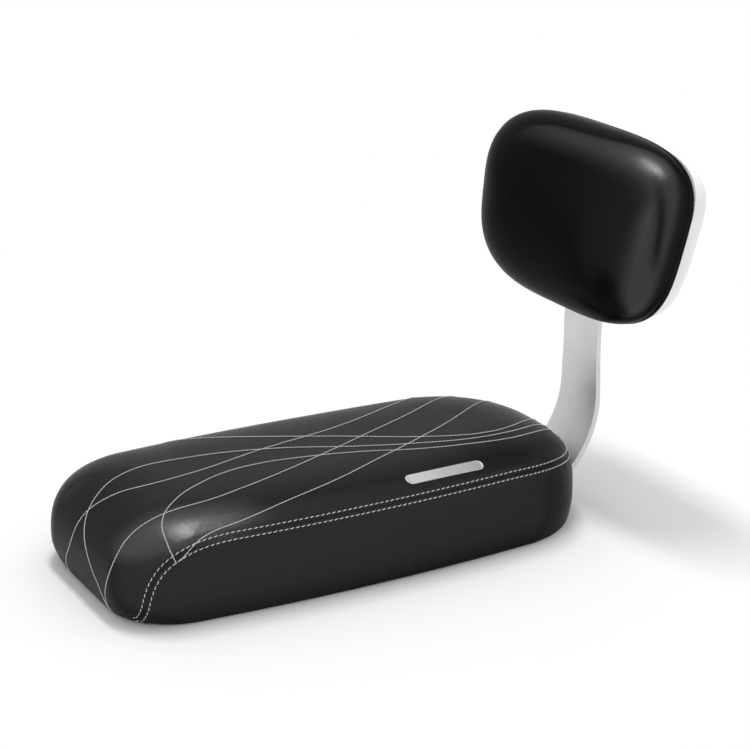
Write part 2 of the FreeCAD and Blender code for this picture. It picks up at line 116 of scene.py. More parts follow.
# Backrest pad in millimetres, in its own frame: across, up, out
BACKREST_WIDTH = 209.2
BACKREST_HEIGHT = 127.0
BACKREST_DEPTH = 44.5
BACKREST_TILT = math.radians(11.1)
BACKREST_ORIGIN = (-203.85, 0.0, 193.03)
BACKREST_POWER = 3.44
BACKREST_TAPER = 0.076
BACKREST_REAR_TUCK = 1.8
BACKREST_BELLY = 9.0
BACKREST_ROUND_START = 7.4
BACKREST_ROUND_POWER = 2.06
BACKREST_HEM = 18.0
BACKREST_HEM_STEPS = (1.0, 0.66, 0.33, 0.1)
BACKREST_CROWN_TURN = math.radians(88.5)
BACKREST_REAR_BAND = 9.0
BACKREST_REAR_ROWS = 15
BACKREST_ROW_SPREAD = 1.1
BACKREST_COLUMNS = 240
BACKREST_ROWS = 46
BACKREST_CROWN_ROWS = 6
WELT_AT = 1.9
WELT_HALF = 1.2
WELT_HEIGHT = 0.6
WELT_CREASE_AT = 4.4
WELT_CREASE_HALF = 0.9
WELT_CREASE_DEPTH = 0.35
SIDE_FOLD_AT = 20.0
SIDE_FOLD_LEAN = 0.1
SIDE_FOLD_HALF = 2.6
SIDE_FOLD_DEPTH = 0.6
SIDE_FOLD_UP = 14.0
SIDE_FOLD_REACH = 26.0

# How finely the forms are sampled before points are placed on them
NOTCH_SAMPLES = 2000
BEND_SAMPLES = 200
SHOULDER_SAMPLES = 1500
HEIGHT_SAMPLES = 4000
OUTLINE_SAMPLES = 10001
PROFILE_SAMPLES = 1200
WALL_SAMPLES = 60
SEAM_SAMPLE_STEP = 0.4

# Soft filling: how the covers are blown up, and how far a point may move
START_SHRINK = 0.2
FILL_PRESSURE = 4.0
FILL_FRAMES = 20
EVENING_ROUNDS = 40
FILL_STIFFNESS = 40.0
FILL_BENDING = 4.0
FILL_QUALITY = 4
CALM_TOP = (56.0, 62.0)
SEAT_MOVE_LIMIT = 1.2
BACKREST_MOVE_LIMIT = 1.0
SEAT_SWELL = 0.22
BACKREST_SWELL = 0.25
INNER_FACE_DEPTH = LEATHER - 0.05

# Leather: how its sheen fades from a facing view to a flat one
FLAT_ANGLE = (0.16, 0.42)
STRETCHED_ANGLE = (0.36, 0.54)
LEATHER_GLOSS_SPREAD = 0.05

# Share of a noise pattern that is spread over the whole range of a roughness
PATTERN_RANGE = (0.3, 0.7)

# Backrest cover: it counts as stretched where it turns off the face, and not on the wall behind
FACE_TURN = (0.70, 0.93)
WALL_TURN = (0.12, 0.42)

# Cushion cover: where its front corners count as stretched, by length, by how far up they face and by width
FRONT_STRETCH_LENGTH = (70.0, 125.0)
FRONT_STRETCH_FACING = (0.35, 0.65)
FRONT_STRETCH_WIDTH = (30.0, 62.0)

# Threads
STITCH_PITCH = 3.75
STITCH_LENGTH = 2.95
STITCH_WIDTH = 0.60
STITCH_LEAN = 0.75
STITCH_RINGS = 6
STITCH_SIDES = 6
STITCH_TAPER = 0.55
STITCH_LIFT = 0.30
STITCH_DIP = 0.75
STITCH_TWISTS = 3.0
DECOR_PITCH = 2.6
DECOR_LENGTH = 3.0
DECOR_WIDTH = 0.62
DECOR_CURVE_STEPS = 24

# Badge plate
BADGE_LENGTH = 58.0
BADGE_WIDTH = 7.6
BADGE_HEIGHT = 0.75
BADGE_EDGE = 0.35
BADGE_SINK = 0.08
BADGE_ROOT = 0.35
BADGE_RIM = 0.8
BADGE_FACE = 1.0
BADGE_ARC_STEPS = 18
BADGE_LINE_STEPS = 16
BADGE_CENTRE = (-49.4, 67.5)
BADGE_TURN = math.radians(1.8)

# Hard pieces: edges to soften, faces to join, and edges shaded as sharp
SHARP_ANGLE = math.radians(50)
FLAT_JOIN_ANGLE = math.radians(0.5)
SHADED_ANGLE = math.radians(32)

# Camera that matches the photograph, in millimetres
CAMERA_EYE = (610.8, 1167.6, 572.1)
CAMERA_AZIMUTH = math.radians(151.02)
CAMERA_ELEVATION = math.radians(19.19)
CAMERA_LENS = 103.58
CAMERA_SENSOR = 36.0

# Studio: the world's light, and in metres the floor's half width and where it turns plain white
WORLD_LIGHT = 0.74
FLOOR_HALF = 30.0
WHITE_FLOOR = (0.30, 0.75)


# Shader helpers

def set_inputs(tree, node, inputs):
    """Sets a node's inputs; each is a value, or a socket to link from."""
    for name, value in inputs.items():
        socket = node.inputs[name]
        if isinstance(value, bpy.types.NodeSocket):
            tree.links.new(value, socket)
        else:
            socket.default_value = value


def add_node(tree, kind, inputs=None, **settings):
    node = tree.nodes.new(kind)
    for name, value in settings.items():
        setattr(node, name, value)
    set_inputs(tree, node, inputs or {})
    return node


def math_node(tree, operation, first, second=0.0):
    return add_node(tree, "ShaderNodeMath", {0: first, 1: second}, operation=operation).outputs[0]


def map_range(tree, value, low, high, new_low, new_high, **settings):
    inputs = {"Value": value, "From Min": low, "From Max": high, "To Min": new_low, "To Max": new_high}
    return add_node(tree, "ShaderNodeMapRange", inputs, **settings).outputs["Result"]


def link_colour(tree, shader, share, first, second):
    """Base colour between two colours, by a share."""
    inputs = {0: share, 6: (*first, 1.0), 7: (*second, 1.0)}
    mix = add_node(tree, "ShaderNodeMix", inputs, data_type="RGBA")
    tree.links.new(mix.outputs[2], shader.inputs["Base Color"])


def link_gloss(tree, shader, pattern, roughness, spread):
    """Roughness that varies with a pattern."""
    gloss = map_range(tree, pattern, *PATTERN_RANGE, roughness - spread, roughness + spread)
    tree.links.new(gloss, shader.inputs["Roughness"])


def object_place(tree):
    return add_node(tree, "ShaderNodeTexCoord").outputs["Object"]


def noise(tree, place, scale, detail, **inputs):
    inputs.update({"Vector": place, "Scale": scale, "Detail": detail})
    return add_node(tree, "ShaderNodeTexNoise", inputs)


def new_group(name, inputs, outputs):
    """Empty shader group with float inputs and outputs; gives the tree and its two end nodes."""
    tree = bpy.data.node_groups.new(name, "ShaderNodeTree")
    for socket_name, value in inputs.items():
        socket = tree.interface.new_socket(socket_name, in_out="INPUT", socket_type="NodeSocketFloat")
        socket.default_value = value
    for socket_name in outputs:
        tree.interface.new_socket(socket_name, in_out="OUTPUT", socket_type="NodeSocketFloat")
    return tree, tree.nodes.new("NodeGroupInput"), tree.nodes.new("NodeGroupOutput")


def leather_grain_group():
    """Pebbled grain with fine pores, and a slow change of gloss over the hide."""
    tree, given, result = new_group(
        "leather_grain", {"Grain Scale": 900.0, "Pore Scale": 2600.0, "Patch Scale": 22.0},
        ("Height", "Crease", "Patch"))
    place = object_place(tree)
    drift = noise(tree, place, 320.0, 2.0)
    shift = add_node(tree, "ShaderNodeVectorMath", {0: drift.outputs["Color"], 1: (0.0011,) * 3},
                     operation="MULTIPLY")
    moved = add_node(tree, "ShaderNodeVectorMath", {0: place, 1: shift.outputs[0]}, operation="ADD")
    pebble = add_node(tree, "ShaderNodeTexVoronoi",
                      {"Vector": moved.outputs[0], "Scale": given.outputs["Grain Scale"]},
                      feature="DISTANCE_TO_EDGE")
    rounded = map_range(tree, pebble.outputs["Distance"], 0.0, 0.22, 0.0, 1.0)
    pores = noise(tree, place, given.outputs["Pore Scale"], 3.0)
    patch = noise(tree, place, given.outputs["Patch Scale"], 4.0)
    fine = math_node(tree, "MULTIPLY", pores.outputs["Fac"], 0.35)
    height = math_node(tree, "ADD", rounded, fine)
    crease = math_node(tree, "SUBTRACT", 1.0, rounded)
    set_inputs(tree, result, {"Height": height, "Crease": crease, "Patch": patch.outputs["Fac"]})
    return tree


def surface_speckle_group():
    """Fine speckle and soft blotches for hard finishes."""
    tree, given, result = new_group(
        "surface_speckle", {"Speckle Scale": 1800.0, "Blotch Scale": 30.0}, ("Speckle", "Blotch"))
    place = object_place(tree)
    speckle = noise(tree, place, given.outputs["Speckle Scale"], 2.0)
    blotch = noise(tree, place, given.outputs["Blotch Scale"], 5.0)
    set_inputs(tree, result, {"Speckle": speckle.outputs["Fac"], "Blotch": blotch.outputs["Fac"]})
    return tree


LEATHER_GRAIN = leather_grain_group()
SURFACE_SPECKLE = surface_speckle_group()


def new_material(name, **values):
    """Node material with a Principled shader; values go on its own sockets."""
    material = bpy.data.materials.new(name)
    material.use_nodes = True
    shader = material.node_tree.nodes["Principled BSDF"]
    for socket, value in values.items():
        shader.inputs[socket.replace("_", " ")].default_value = value
    return material, material.node_tree, shader


def link_bump(tree, shader, height, distance):
    bump = add_node(tree, "ShaderNodeBump", {"Height": height, "Distance": distance, "Strength": 1.0})
    tree.links.new(bump.outputs["Normal"], shader.inputs["Normal"])


def leather_material(name, colour, crease_colour, roughness, grain_depth, sheen, flat_sheen,
                     stretched_sheen):
    """Black coated leather; the grain sets its bump and creases, and shades it at flat angles.

    Where the cover is stretched over an edge it shines more."""
    material, tree, shader = new_material(name)
    grain = add_node(tree, "ShaderNodeGroup", node_tree=LEATHER_GRAIN)
    facing = add_node(tree, "ShaderNodeLayerWeight", {"Blend": 0.5}).outputs["Facing"]
    level = map_range(tree, facing, *FLAT_ANGLE, sheen, flat_sheen)
    stretch = add_node(tree, "ShaderNodeAttribute", attribute_name="stretch").outputs["Fac"]
    stretched_level = map_range(tree, facing, *STRETCHED_ANGLE, stretched_sheen, flat_sheen)
    level = map_range(tree, stretch, 0.0, 1.0, level, stretched_level)
    tree.links.new(level, shader.inputs["Specular IOR Level"])
    link_colour(tree, shader, grain.outputs["Crease"], colour, crease_colour)
    link_gloss(tree, shader, grain.outputs["Patch"], roughness, LEATHER_GLOSS_SPREAD)
    link_bump(tree, shader, grain.outputs["Height"], grain_depth)
    return material


def speckled_material(name, colour, dark_colour, roughness, spread, bump_depth, scale=1800.0, **values):
    """Hard finish with a speckled colour, gloss and a fine bump."""
    material, tree, shader = new_material(name, **values)
    speckle = add_node(tree, "ShaderNodeGroup", {"Speckle Scale": scale}, node_tree=SURFACE_SPECKLE)
    share = map_range(tree, speckle.outputs["Blotch"], 0.35, 0.65, 0.0, 1.0)
    link_colour(tree, shader, share, colour, dark_colour)
    link_gloss(tree, shader, speckle.outputs["Speckle"], roughness, spread)
    link_bump(tree, shader, speckle.outputs["Speckle"], bump_depth)
    return material


def plywood_material():
    """Birch plywood: plies seen on the edges, long grain on the faces."""
    material, tree, shader = new_material("plywood", Roughness=0.62)
    place = object_place(tree)
    stretch = add_node(tree, "ShaderNodeMapping", {"Vector": place, "Scale": (12.0, 160.0, 160.0)})
    grain = noise(tree, stretch.outputs[0], 1.0, 6.0, Distortion=0.6)
    height = add_node(tree, "ShaderNodeSeparateXYZ", {0: place}).outputs["Z"]
    ply = math_node(tree, "PINGPONG", height, 0.0015)
    layer = map_range(tree, ply, 0.0, 0.0015, 0.0, 0.35)
    share = math_node(tree, "ADD", math_node(tree, "MULTIPLY", grain.outputs["Fac"], 0.6), layer)
    link_colour(tree, shader, share, (0.52, 0.36, 0.20), (0.27, 0.16, 0.08))
    link_bump(tree, shader, grain.outputs["Fac"], 0.0003)
    return material


def foam_material():
    """Open-cell foam."""
    material, tree, shader = new_material("foam", Roughness=0.9)
    place = object_place(tree)
    cells = add_node(tree, "ShaderNodeTexVoronoi", {"Vector": place, "Scale": 700.0})
    link_colour(tree, shader, cells.outputs["Distance"], (0.10, 0.10, 0.10), (0.03, 0.03, 0.03))
    link_bump(tree, shader, cells.outputs["Distance"], 0.0006)
    return material


def thread_material():
    """Twisted white thread; the twist runs along each stitch, and its colour turns grey along the grooves
    between the strands as painted shade.
    """
    material, tree, shader = new_material("white_thread", Roughness=0.75, Sheen_Weight=0.2)
    twist = add_node(tree, "ShaderNodeAttribute", attribute_name="twist").outputs["Fac"]
    strand_relief_and_shade = math_node(tree, "PINGPONG", twist, 0.5)
    # Painted shade: grey along the grooves between the twisted strands and white on their crests; the same
    # pattern sets the bump.
    share = map_range(tree, strand_relief_and_shade, 0.0, 0.5, 0.0, 1.0)
    link_colour(tree, shader, share, (0.42, 0.42, 0.42), (0.76, 0.76, 0.75))
    link_bump(tree, shader, strand_relief_and_shade, 0.0002)
    return material


# Mesh helpers

def linked_object(name, data):
    piece = bpy.data.objects.new(name, data)
    bpy.context.scene.collection.objects.link(piece)
    return piece


def new_mesh_object(name, points, faces, smooth=True):
    mesh = bpy.data.meshes.new(name)
    mesh.from_pydata([tuple(p) for p in points], [], faces)
    mesh.update()
    if smooth:
        mesh.shade_smooth()
    return linked_object(name, mesh)


def evaluated_mesh(piece):
    """Mesh of a piece after its modifiers; the piece itself is removed."""
    graph = bpy.context.evaluated_depsgraph_get()
    mesh = bpy.data.meshes.new_from_object(piece.evaluated_get(graph))
    bpy.data.objects.remove(piece)
    return mesh


def merged_faces(points, quads):
    """Quads with coincident corners made one, so that poles and closing rows leave no slits."""
    keys = {}
    index = [keys.setdefault(tuple(np.round(p, 5)), i) for i, p in enumerate(points)]
    faces = []
    for quad in quads:
        face = []
        for corner in quad:
            if index[corner] not in face:
                face.append(index[corner])
        if len(face) > 2:
            faces.append(tuple(face))
    return faces


def leather_skin(name, outer, inner, faces, stretch, leather):
    """Closed leather piece between an outer and an inner face, with a rim along every free edge."""
    count = len(outer)
    single = {}
    for face in faces:
        for start, end in zip(face, face[1:] + face[:1]):
            if (end, start) in single:
                del single[(end, start)]
            else:
                single[(start, end)] = True
    walls = list(faces)
    walls += [tuple(i + count for i in reversed(face)) for face in faces]
    walls += [(end, start, start + count, end + count) for start, end in single]
    used = sorted({i for face in walls for i in face})
    place = {old: new for new, old in enumerate(used)}
    points = np.vstack((outer, inner))[used] * MM
    piece = new_mesh_object(name, points, [tuple(place[i] for i in face) for face in walls])
    attribute = piece.data.attributes.new("stretch", "FLOAT", "POINT")
    attribute.data.foreach_set("value", np.tile(stretch, 2)[used])
    piece.data.materials.append(leather)
    return piece


def smooth_step(value, low, high):
    share = np.clip((value - low) / (high - low), 0.0, 1.0)
    return share * share * (3.0 - 2.0 * share)


def bell(value, middle, half):
    """One at the middle, and falling to zero on both sides of it."""
    return np.exp(-((value - middle) / half) ** 2)


def running_length(points):
    """Length along a line up to each of its points."""
    steps = np.linalg.norm(np.diff(points, axis=0), axis=1)
    return np.concatenate(([0.0], np.cumsum(steps)))


def grid_normals(points):
    """Outward normals of a grid whose columns run once round the piece."""
    across = np.roll(points, -1, axis=1) - np.roll(points, 1, axis=1)
    up = np.gradient(points, axis=0)
    normal = np.cross(across, up)
    length = np.linalg.norm(normal, axis=2, keepdims=True)
    return normal / np.maximum(length, 1e-9)


def grid_quads(rows, columns):
    """Quads of a grid that closes on itself sideways, as (row, column, four corners)."""
    quads = []
    for i in range(rows - 1):
        for j in range(columns):
            after = (j + 1) % columns
            low, high = i * columns, (i + 1) * columns
            quads.append((i, j, (low + j, low + after, high + after, high + j)))
    return quads


def evened(move, faces, pinned):
    """Moves averaged with their neighbours', so that no single point of the cover stands out."""
    edges = np.array([(a, b) for face in faces for a, b in zip(face, face[1:] + face[:1])])
    edges = np.vstack((edges, edges[:, ::-1]))
    count = np.maximum(np.bincount(edges[:, 0], minlength=len(move)), 1)[:, None]
    for _ in range(EVENING_ROUNDS):
        sums = [np.bincount(edges[:, 0], axis, len(move)) for axis in move[edges[:, 1]].T]
        around = np.stack(sums, axis=1)
        move = np.where(pinned[:, None], 0.0, 0.5 * move + 0.5 * around / count)
    return move


def blown_up(name, target, normals, faces, pinned, limit):
    """Moves that a cloth simulation under pressure gives the cover, held back to a limit and evened."""
    loose = ~pinned
    start = target - normals * START_SHRINK * loose[:, None]
    cover = new_mesh_object(name + "_cloth", start * MM, faces)
    group = cover.vertex_groups.new(name="held")
    group.add([int(i) for i in np.nonzero(pinned)[0]], 1.0, "REPLACE")
    cloth = cover.modifiers.new("filling", "CLOTH")
    settings = cloth.settings
    settings.vertex_group_mass = "held"
    settings.use_pressure = True
    settings.uniform_pressure_force = FILL_PRESSURE
    settings.effector_weights.gravity = 0.0
    settings.tension_stiffness = FILL_STIFFNESS
    settings.compression_stiffness = FILL_STIFFNESS
    settings.bending_stiffness = FILL_BENDING
    settings.quality = FILL_QUALITY
    cloth.point_cache.frame_start = 1
    cloth.point_cache.frame_end = FILL_FRAMES
    scene = bpy.context.scene
    for number in range(1, FILL_FRAMES + 1):
        scene.frame_set(number)
    filled = evaluated_mesh(cover)
    points = np.empty(len(filled.vertices) * 3)
    filled.vertices.foreach_get("co", points)
    scene.frame_set(1)
    bpy.data.meshes.remove(filled)
    move = points.reshape(-1, 3) / MM - target
    length = np.linalg.norm(move, axis=1, keepdims=True)
    move *= np.minimum(1.0, limit / np.maximum(length, 1e-9))
    return evened(move, faces, pinned)


# Cushion form

def rounding(height, start, run, power):
    """Inset of a rounded edge at a height above the hem."""
    up = np.clip((height - start) / (SEAT_HEIGHT - start), 0.0, 1.0)
    return run * (1.0 - (1.0 - up ** power) ** (1.0 / power))


def corner_arc(end_x, flat, half, side):
    """Corner circle that touches the end line and the long side arc: centre, radius and meeting angle."""
    reach = np.abs(end_x - SIDE_ARC_FORWARD)
    lift = flat / 2 - half + SIDE_ARC_RADIUS
    radius = (SIDE_ARC_RADIUS ** 2 - reach ** 2 - lift ** 2) / (2 * (SIDE_ARC_RADIUS - reach))
    centre_x = end_x - side * radius
    angle = np.arctan2(lift, centre_x - SIDE_ARC_FORWARD)
    return centre_x, radius, angle


def cushion_points(segment, share, height, hem):
    """Points on the left half of the cushion's form, by place along the outline, height and hem inset."""
    tuck = np.clip(1.0 - height / BELLY_HEIGHT, 0.0, 1.0) ** 2
    side = rounding(height, SHOULDER_START, HALF_WIDTH, SHOULDER_POWER)
    front = rounding(height, FRONT_ROUND_START, FRONT_ROUND_RUN, FRONT_ROUND_POWER)
    rear = rounding(height, REAR_ROUND_START, REAR_ROUND_RUN, REAR_ROUND_POWER)
    half = HALF_WIDTH - (side + SIDE_TUCK * tuck + hem)
    front_x = HALF_LENGTH - (front + FRONT_TUCK * tuck + hem)
    rear_x = rear + REAR_TUCK * tuck + hem - HALF_LENGTH
    front_flat = (FRONT_FLAT + (FRONT_FLAT_FOOT - FRONT_FLAT) * tuck) * half / HALF_WIDTH
    rear_flat = REAR_FLAT * half / HALF_WIDTH
    front_centre, front_radius, front_angle = corner_arc(front_x, front_flat, half, 1)
    rear_centre, rear_radius, rear_angle = corner_arc(rear_x, rear_flat, half, -1)
    front_turn = share * front_angle
    side_turn = front_angle + share * (rear_angle - front_angle)
    rear_turn = rear_angle + share * (math.pi - rear_angle)
    stretches = [segment == part for part in (FRONT_LINE, FRONT_CORNER, LONG_SIDE, REAR_CORNER)]
    x = np.select(
        stretches,
        [front_x, front_centre + front_radius * np.cos(front_turn),
         SIDE_ARC_FORWARD + SIDE_ARC_RADIUS * np.cos(side_turn),
         rear_centre + rear_radius * np.cos(rear_turn)], rear_x)
    y = np.select(
        stretches,
        [share * front_flat / 2, front_flat / 2 + front_radius * np.sin(front_turn),
         half - SIDE_ARC_RADIUS + SIDE_ARC_RADIUS * np.sin(side_turn),
         rear_flat / 2 + rear_radius * np.sin(rear_turn)], (1 - share) * rear_flat / 2)
    return np.stack((x, y, height - LEATHER + 0 * x), axis=-1)


def shoulder_table():
    """Heights and distances along the cushion's side, from the hem up to the crown."""
    crown = math.acos((CROWN_WIDTH / SEAT_WIDTH) ** (SHOULDER_POWER / 2))
    turn = np.linspace(0.0, crown, SHOULDER_SAMPLES)
    rise = SEAT_HEIGHT - SHOULDER_START
    heights = SHOULDER_START + rise * np.sin(turn) ** (2 / SHOULDER_POWER)
    insets = HALF_WIDTH * (1 - np.cos(turn) ** (2 / SHOULDER_POWER))
    distance = SHOULDER_START + running_length(np.stack((heights, insets), axis=1))
    return np.concatenate(([0.0], heights)), np.concatenate(([0.0], distance))


def seam_line_height(x):
    """Height of the seam above the hem at a length along the cushion; below the hem past its foot."""
    share = np.linspace(0.0, 1.0, BEND_SAMPLES)[:, None]
    corners = np.array(((SEAM_BEND_START, SEAM_HEIGHT),) + SEAM_BEND_HANDLES + (SEAM_FOOT,))
    weights = np.hstack(((1 - share) ** 3, 3 * share * (1 - share) ** 2,
                         3 * share ** 2 * (1 - share), share ** 3))
    bend = weights @ corners
    level = np.interp(x, bend[:, 0], bend[:, 1], left=SEAM_HEIGHT, right=SEAM_FOOT[1])
    fall = np.clip((SEAM_FALL_START - x) / SEAM_FALL_RUN, 0.0, 1.0)
    return level - SEAM_FALL * fall ** 2 + LEATHER


def notch_share():
    """Share of the rear corner at which a column runs along the opening's side."""
    share = np.linspace(0.0, 1.0, NOTCH_SAMPLES)
    segment = np.full(len(share), REAR_CORNER)
    across = cushion_points(segment, share, NOTCH_HEIGHT, 0.0)[:, 1]
    return np.interp(-NOTCH_HALF, -across, share)


def column_places():
    """Segment and share of each column of the left half, from the front's middle to the rear's."""
    notch = notch_share()
    corner = np.concatenate((np.arange(REAR_CORNER_COLUMNS) / REAR_CORNER_COLUMNS * notch,
                             notch + np.arange(REAR_NOTCH_COLUMNS) / REAR_NOTCH_COLUMNS * (1.0 - notch)))
    counts = (FRONT_LINE_COLUMNS, FRONT_CORNER_COLUMNS, SIDE_COLUMNS)
    shares = [np.arange(count) / count for count in counts]
    shares += [corner, np.arange(REAR_LINE_COLUMNS + 1) / REAR_LINE_COLUMNS]
    segment = np.concatenate([np.full(len(places), i) for i, places in enumerate(shares)])
    return segment, np.concatenate(shares)


def column_seam_heights(segment, share, heights):
    """Height above the hem at which each column crosses the seam, or 0 where it has none."""
    points = cushion_points(segment, share, heights[:, None], 0.0)
    above = heights[:, None] >= seam_line_height(points[..., 0])
    return heights[np.argmax(above, axis=0)]


class CushionGrid:
    """Rows and columns over the whole cushion cover; the rows crowd along the seam."""

    def __init__(self):
        segment, share = column_places()
        height, hem = self.lay_rows(segment, share)
        left = cushion_points(segment, share, height, hem)
        # Beside the bar's opening the hem runs straight forward, so that the opening has straight sides
        forward = cushion_points(segment, share, height, 0.0)
        forward[..., 0] += hem
        corner = smooth_step(share, 0.0, notch_share())
        beside = np.where(segment == REAR_CORNER, corner, segment == REAR_LINE)
        left += beside[:, None] * (forward - left)
        # The crown's rows run in from its rim to a spine along the middle
        rim = left[-1]
        length = rim[:, 0]
        spine = np.clip(length, length.min() + CROWN_WIDTH / 2, length.max() - CROWN_WIDTH / 2)
        inward = np.stack((spine, 0 * spine, rim[:, 2]), axis=1) - rim
        crown = [rim + inward * (i + 1) / CROWN_ROWS for i in range(CROWN_ROWS)]
        left = np.concatenate((left, np.array(crown)))
        right = left[:, -2:0:-1] * (1, -1, 1)
        self.points = np.concatenate((left, right), axis=1)
        self.has_seam = np.concatenate((self.has_seam, self.has_seam[-2:0:-1]))
        self.rows, self.columns = self.points.shape[:2]
        self.normals = grid_normals(self.points)
        self.normals[-1] = (0.0, 0.0, 1.0)
        self.hem_rows = len(HEM_STEPS)

    def lay_rows(self, segment, share):
        """Height and hem inset of every row at each column of the left half."""
        heights, distances = shoulder_table()
        fine = np.linspace(0.0, distances[-1], HEIGHT_SAMPLES)
        seam = column_seam_heights(segment, share, np.interp(fine, distances, heights))
        self.has_seam = seam > HEM_EDGE_RADIUS
        seam_at = np.interp(np.maximum(seam, 2.0 * HEM_EDGE_RADIUS), heights, distances)
        rows = [(0.0, inset) for inset in HEM_STEPS]
        for i in range(HEM_EDGE_ROWS):
            turn = math.pi / 2 * i / HEM_EDGE_ROWS
            rows.append((HEM_EDGE_RADIUS * (1 - math.cos(turn)), HEM_EDGE_RADIUS * (1 - math.sin(turn))))
        steep = np.hypot(1.0, np.gradient(seam_at) / self.column_step(segment, share))
        span = 2 * SEAM_STEEP_SPAN + 1
        steep = np.pad(np.minimum(steep, SEAM_STEEP_LIMIT), SEAM_STEEP_SPAN, mode="edge")
        steep = np.convolve(steep, np.ones(span) / span, mode="valid")
        room = (seam_at - HEM_EDGE_RADIUS) * SEAM_BAND_ROOM / SEAM_BAND[-1]
        below = np.minimum(steep, room)
        low_end = seam_at - below * SEAM_BAND[-1]
        high_start = seam_at + steep * SEAM_BAND[-1]
        low_wall = low_end - HEM_EDGE_RADIUS
        levels = [HEM_EDGE_RADIUS + low_wall * i / LOW_WALL_ROWS for i in range(LOW_WALL_ROWS)]
        levels += [seam_at - below * offset for offset in reversed(SEAM_BAND)]
        self.seam_row = len(rows) + len(levels)
        levels += [seam_at]
        levels += [seam_at + steep * offset for offset in SEAM_BAND[:-1]]
        top = distances[-1] - high_start
        levels += [high_start + top * i / TOP_ROWS for i in range(TOP_ROWS + 1)]
        rows += [(np.interp(level, distances, heights), 0.0) for level in levels]
        blank = np.zeros(len(segment))
        full = np.array([(height + blank, hem + blank) for height, hem in rows])
        return full[:, 0], full[:, 1]

    @staticmethod
    def column_step(segment, share):
        points = cushion_points(segment, share, SHOULDER_START, 0.0)
        return np.maximum(np.linalg.norm(np.gradient(points, axis=0), axis=1), LEAST_COLUMN_STEP)

    def seam_points(self):
        """The seam from the left foot round the rear to the right foot."""
        order = np.nonzero(self.has_seam)[0]
        return self.points[self.seam_row, order], self.normals[self.seam_row, order]


def seam_relief(points, seam):
    """Height change near the seam: a groove, rolled edges beside it, and small puckers between stitches."""
    length = running_length(seam)
    dense = np.linspace(0.0, length[-1], int(length[-1] / SEAM_SAMPLE_STEP))
    line = np.stack([np.interp(dense, length, seam[:, k]) for k in range(3)], axis=1)
    tree = KDTree(len(line))
    for i, point in enumerate(line):
        tree.insert(point, i)
    tree.balance()
    found = [tree.find(point) for point in points]
    distance = np.array([hit[2] for hit in found])
    along = dense[np.array([hit[1] for hit in found])]
    groove = -SEAM_GROOVE_DEPTH * bell(distance, 0.0, SEAM_GROOVE_HALF)
    roll = bell(distance, SEAM_ROLL_AT, SEAM_ROLL_HALF)
    pucker = PUCKER_HEIGHT * np.sin(2 * math.pi * along / PUCKER_PITCH + np.sin(along / PUCKER_DRIFT))
    return groove + roll * (SEAM_ROLL_HEIGHT + pucker)


def soft_unevenness(points, height):
    """Slow swells of padded leather, a fixed sum of waves."""
    x, y, z = points.T
    waves = np.sin(x / 31.0 + 1.3 * np.sin(y / 43.0)) + np.sin(y / 27.0 + x / 61.0 + 0.7)
    waves += np.sin(z / 15.0 + x / 37.0 + 2.1)
    return height * waves / 3.0


def seat_panels(leather):
    """Top and side panels of the cushion's cover, sewn along the seam."""
    grid = CushionGrid()
    base = grid.points.reshape(-1, 3)
    normals = grid.normals.reshape(-1, 3)
    row = np.arange(len(base)) // grid.columns
    column = np.arange(len(base)) % grid.columns
    quads = grid_quads(grid.rows, grid.columns)
    sewn = (row == grid.seam_row) & grid.has_seam[column]
    pinned = sewn | (row < grid.hem_rows + HEM_EDGE_ROWS)
    open_faces = merged_faces(base, [corners for i, j, corners in quads])
    move = blown_up("seat", base, normals, open_faces, pinned, SEAT_MOVE_LIMIT)
    move *= 1.0 - smooth_step(base[:, 2:], *CALM_TOP)
    seam, seam_normals = grid.seam_points()
    relief = seam_relief(base, seam) + soft_unevenness(base, SEAT_SWELL)
    relief[row < grid.hem_rows + HEM_EDGE_ROWS] = 0.0
    outer = base + move + normals * relief[:, None]
    inner = base - normals * INNER_FACE_DEPTH
    stretch = smooth_step(base[:, 0], *FRONT_STRETCH_LENGTH)
    stretch *= smooth_step(normals[:, 2], *FRONT_STRETCH_FACING)
    stretch *= smooth_step(np.abs(base[:, 1]), *FRONT_STRETCH_WIDTH)
    top, side = [], []
    for i, j, corners in quads:
        after = (j + 1) % grid.columns
        middle = base[list(corners)].mean(axis=0)
        if middle[0] < 0 and abs(middle[1]) < NOTCH_HALF and middle[2] + LEATHER < NOTCH_HEIGHT:
            continue
        sewn_column = grid.has_seam[j] and grid.has_seam[after]
        (side if sewn_column and i < grid.seam_row else top).append(corners)
    pieces = [leather_skin(name, outer, inner, merged_faces(base, faces), stretch, leather)
              for name, faces in (("seat_top_leather", top), ("seat_side_leather", side))]
    surface = BVHTree.FromPolygons([Vector(p) for p in outer], open_faces)
    return pieces, surface, seam, seam_normals


# Backrest form

def backrest_to_seat(points):
    """From the backrest's frame (across, up, out) to the seat's frame."""
    up = np.array((-math.sin(BACKREST_TILT), 0.0, math.cos(BACKREST_TILT)))
    out = np.array((math.cos(BACKREST_TILT), 0.0, math.sin(BACKREST_TILT)))
    across = np.array((0.0, 1.0, 0.0))
    return np.array(BACKREST_ORIGIN) + points @ np.stack((across, up, out))


def backrest_outline(turn, inset, tall=1.0):
    """Rounded outline of the pad, a little wider at its top; tall draws it in to its middle line."""
    power = 2 / BACKREST_POWER
    across = np.sign(np.cos(turn)) * np.abs(np.cos(turn)) ** power
    up = np.sign(np.sin(turn)) * np.abs(np.sin(turn)) ** power * tall
    width = (BACKREST_WIDTH / 2 - inset) * (1 + BACKREST_TAPER * up)
    return across * width, up * (BACKREST_HEIGHT / 2 - inset)


def even_turns(count):
    """Turns that step about evenly along the outline, the same above and below its middle line."""
    turn = np.linspace(0.0, math.pi / 2, OUTLINE_SAMPLES)
    length = running_length(np.stack(backrest_outline(turn, 0.0), axis=1))
    quarter = np.interp(np.arange(count // 4 + 1) / (count // 4) * length[-1], length, turn)
    half = np.concatenate((quarter[:-1], math.pi - quarter[:0:-1]))
    return np.concatenate((half, math.pi + half))


